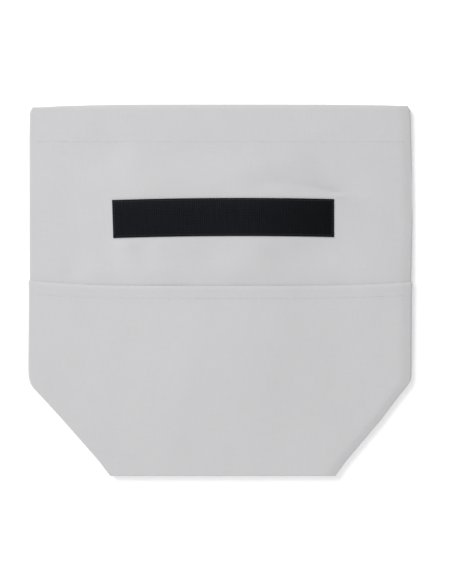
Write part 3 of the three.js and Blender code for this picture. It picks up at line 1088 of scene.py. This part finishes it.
def tape_border(strip):
    """The line of the stitches around a tape, inside its edge."""
    half_x, half_y = strip["width"] / 2 - TAPE_STITCH_INSET, strip["height"] / 2 - TAPE_STITCH_INSET
    side, climb = [np.linspace(-1, 1, count) for count in BORDER_POINTS]
    side_ones, climb_ones = np.ones(len(side)), np.ones(len(climb))
    across = half_x * np.concatenate((side, climb_ones, -side, -climb_ones))
    up = half_y * np.concatenate((-side_ones, climb, side_ones, -climb))
    return tape_place(strip, across, up)


def hook_foot(x, y):
    return crown_level(x, y) + TAPE_GAP


def hook_ground(x, y):
    return hook_foot(x, y) + TAPE_BASE


def make_hook_tape():
    """The hook tape on the front, with its hooks and the stitches around it."""
    tape = make_tape("hook_tape", HOOK_STRIP, hook_foot, "hook_strip")
    make_hooks(HOOK_STRIP, hook_ground)
    x, y = tape_border(HOOK_STRIP)
    line = np.column_stack((x, y, hook_ground(x, y)))
    finish_piece(stitches("hook_tape_stitches", line, **TAPE_STITCH), black_thread, "black_tape")
    return tape


def make_loop_tape():
    """The loop tape under the back, with its loops facing down."""
    ground = TAPE_THICKNESS - TAPE_BASE

    def foot(x, y):
        return np.full_like(x, ground)

    tape = make_tape("loop_tape", LOOP_STRIP, foot, "loop_strip")
    make_loops(LOOP_STRIP, ground)
    return tape


# Stitches of the mouth's hem and of the pocket's hem
def make_hem_stitches():
    x = np.linspace(-REACH - HEM_OVERRUN, REACH + HEM_OVERRUN, HEM_POINTS)
    y = np.full_like(x, HEM_Y)
    line = np.column_stack((x, y, front_level(x, y)))
    finish_piece(stitches("mouth_hem_stitches", line, **HEM_STITCH), grey_thread, "grey_cloth")

    y = np.full_like(x, POCKET_RIM["y"] - POCKET_HEM["stitch"])
    fold = POCKET_HEM["fold"] * (1 - POCKET_HEM["stitch"] / POCKET_HEM["band"])
    height = pocket_level(x, y) + GAP + POCKET_CLOTH + fold
    line = np.column_stack((x, y + pocket_lift(x, y), height))
    finish_piece(stitches("pocket_hem_stitches", line, **HEM_STITCH), grey_thread, "grey_cloth")


# Floor, lights and camera
def make_floor():
    nodes = Nodes("pale_floor")
    places = nodes.add("ShaderNodeTexCoord").outputs["Object"]
    speck = nodes.spread(nodes.noise(places, FLOOR["speck_scale"]), *FLOOR["speck"])
    material = nodes.finish({
        "Base Color": nodes.tinted(FLOOR_COLOUR, speck),
        "Roughness": FLOOR["roughness"],
        "Specular IOR Level": 0.0,
        "Emission Color": (1, 1, 1, 1),
        "Emission Strength": FLOOR["glow"],
    })
    mesh = bpy.data.meshes.new("floor")
    signs = ((-1, -1), (1, -1), (1, 1), (-1, 1))
    corners = [(right * FLOOR["half"], up * FLOOR["half"], -FLOOR["drop"] * MM) for right, up in signs]
    mesh.from_pydata(corners, [], [(0, 1, 2, 3)])
    mesh.materials.append(material)
    floor = scene_object("floor", mesh)


def make_light(name, place, size, power):
    data = bpy.data.lights.new(name, "AREA")
    data.shape = "DISK"
    data.size = size
    data.energy = power
    light = scene_object(name, data)
    light.location = place
    light.rotation_euler = (-light.location).to_track_quat("-Z", "Y").to_euler()


def make_sky():
    world = bpy.data.worlds.new("studio")
    world.use_nodes = True
    background = world.node_tree.nodes["Background"]
    background.inputs["Color"].default_value = (1, 1, 1, 1)
    background.inputs["Strength"].default_value = SKY
    bpy.context.scene.world = world


def make_camera():
    """A camera straight above the bag, with the photograph's frame at the height of the bag's edge."""
    data = bpy.data.cameras.new("camera")
    data.sensor_width = SENSOR
    data.lens = SENSOR * (CAMERA_HEIGHT - EDGE_HEIGHT) / (PHOTO_HEIGHT * PIXEL)
    data.clip_end = FAR_CLIP
    camera = scene_object("camera", data)
    camera.location = (PHOTO_MIDDLE[0] * MM, PHOTO_MIDDLE[1] * MM, CAMERA_HEIGHT * MM)
    bpy.context.scene.camera = camera


# Making it all
grey_cloth = cloth_material()
grey_thread = thread_material("grey_thread", THREAD_COLOUR)
black_thread = thread_material("black_thread", FILAMENT_COLOUR)
tape_ground = tape_material()
filament = filament_material()

SETTLED = settled_rise()
make_walls()
make_base_tuck()
pocket = make_pocket()
hook_tape = make_hook_tape()
loop_tape = make_loop_tape()
make_hem_stitches()

make_floor()
for light in LIGHTS:
    make_light(*light)
make_sky()
bpy.context.scene.view_settings.view_transform = "Standard"
make_camera()
